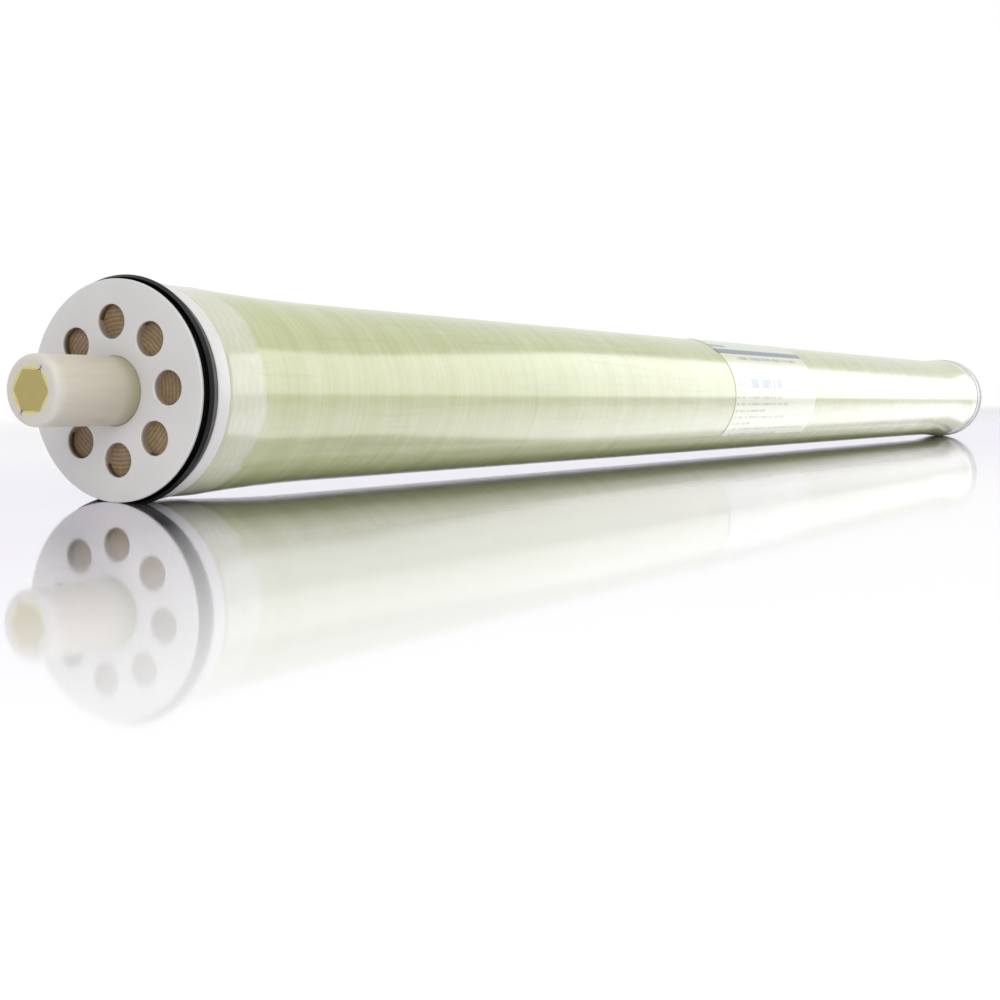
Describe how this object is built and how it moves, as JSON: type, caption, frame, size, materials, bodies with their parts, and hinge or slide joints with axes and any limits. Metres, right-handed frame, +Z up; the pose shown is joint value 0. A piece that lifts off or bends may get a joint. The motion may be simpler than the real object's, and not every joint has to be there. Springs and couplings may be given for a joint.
{
  "type": "spiral-wound ro membrane element",
  "caption": "Spiral-wound reverse osmosis element: membrane roll on a central permeate tube, ported end caps, lip seal and a glass-fibre shell.",
  "frame": {"origin": "on the permeate tube's axis, half way along the element", "axes": "+X along the tube's axis from the feed end to the concentrate end, +Z up as the element lies"},
  "size_m": [1.016, 0.0636, 0.0623],
  "materials": {
    "tube": "satin translucent ivory",
    "carrier": "knitted polyester cloth",
    "membrane": "edge of glued membrane sheet",
    "spacer": "plastic net",
    "film": "wound tape",
    "cap": "satin off-white moulding",
    "seal": "matt black",
    "shell": "resin over wound glass fibre, pale green",
    "label": "printed sheet under resin"
  },
  "bodies": {
    "root": {"permeate_tube": "tube", "carrier_core_wrap": "carrier", "membrane_leaf_1": "membrane", "membrane_leaf_2": "membrane", "feed_spacer_1": "spacer", "feed_spacer_2": "spacer", "roll_film_wrap": "film", "feed_end_cap": "cap", "concentrate_end_cap": "cap", "brine_seal": "seal", "frp_shell": "shell", "label": "label"}
  },
  "joints": []
}
